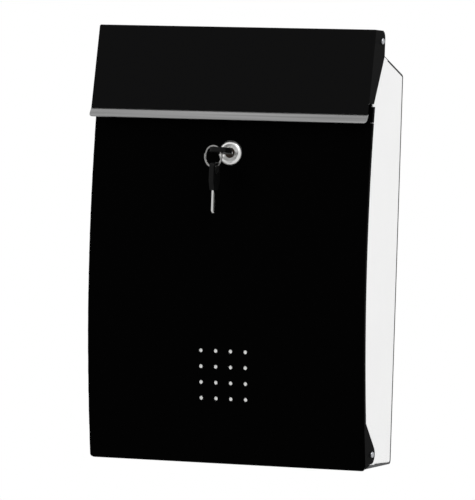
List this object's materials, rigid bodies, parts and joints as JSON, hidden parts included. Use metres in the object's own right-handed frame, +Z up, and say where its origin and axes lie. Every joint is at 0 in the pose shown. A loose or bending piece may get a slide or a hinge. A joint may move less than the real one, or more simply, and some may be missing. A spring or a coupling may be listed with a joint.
{
  "type": "wall mounted post box",
  "caption": "Slim wall mounted post box: white sides on a grey folded pan, bowed black drop-down door with view holes, sloping black letter flap with a metal lip, and a cam lock with keys.",
  "frame": {"origin": "centre of the four wall holes on the wall face of the back panel, at half the height", "axes": "+Z up, +Y into the wall, the front looks along -Y, +X to the right seen from the front"},
  "size_m": [0.3024, 0.1351, 0.44],
  "materials": {
    "case_white": "white powder coat, semi-gloss",
    "pan_graphite": "dark grey powder coat, satin",
    "cover_black": "black powder coat, satin",
    "opal_window": "opal, slightly translucent",
    "lip_aluminium": "brushed lengthwise",
    "rivet_steel": "bright zinc plate",
    "washer_nylon": "natural nylon",
    "lock_chrome": "polished",
    "lock_brass": "nickel plated, polished",
    "zinc_steel": "zinc plate",
    "key_nickel": "nickel plate",
    "key_grip": "moulded, fine satin",
    "ring_nickel": "nickel plate, polished"
  },
  "bodies": {
    "case": {"back_panel": "pan_graphite", "side_panel_left": "case_white", "side_panel_right": "case_white", "front_rail": "cover_black", "door_rivet_left": "rivet_steel", "door_rivet_right": "rivet_steel", "door_washer_left": "washer_nylon", "door_washer_right": "washer_nylon", "flap_rivet_left": "rivet_steel", "flap_rivet_right": "rivet_steel", "flap_washer_left": "washer_nylon", "flap_washer_right": "washer_nylon"},
    "door": {"door_panel": "cover_black", "view_window": "opal_window", "lock_body": "lock_chrome", "lock_nut": "zinc_steel"},
    "flap": {"flap_panel": "cover_black", "flap_strip": "lip_aluminium"},
    "lock_plug": {"lock_plug": "lock_brass", "lock_cam": "zinc_steel", "cam_washer": "zinc_steel", "cam_screw": "zinc_steel"},
    "key": {"key_blade": "key_nickel", "key_bow": "key_grip"},
    "split_ring": {"key_ring": "ring_nickel"},
    "spare_key": {"spare_key_blade": "key_nickel", "spare_key_bow": "key_grip"}
  },
  "joints": [
    {"name": "door_hinge", "type": "hinge", "parent": "case", "child": "door", "pos_m": [0, -0.06213, -0.2038], "axis": [1, 0, 0], "range_deg": [0, 90]},
    {"name": "flap_hinge", "type": "hinge", "parent": "case", "child": "flap", "pos_m": [0, -0.07024, 0.2092], "axis": [-1, 0, 0], "range_deg": [0, 80]},
    {"name": "lock_turn", "type": "hinge", "parent": "door", "child": "lock_plug", "pos_m": [0.0008, -0.09564, 0.0933], "axis": [0, -0.9971, 0.0762], "range_deg": [0, 90]},
    {"name": "key_pull", "type": "slide", "parent": "lock_plug", "child": "key", "axis": [0, -0.9971, 0.0762], "range_m": [0, 0.03]},
    {"name": "ring_swing", "type": "hinge", "parent": "key", "child": "split_ring", "pos_m": [0.0008, -0.12756, 0.09574], "axis": [-0.9563, 0.2924, 0], "range_deg": [-8, 15]},
    {"name": "spare_key_swing", "type": "hinge", "parent": "split_ring", "child": "spare_key", "pos_m": [-0.00388, -0.12613, 0.07883], "axis": [-0.9563, 0.2924, 0], "range_deg": [-8, 60]}
  ]
}
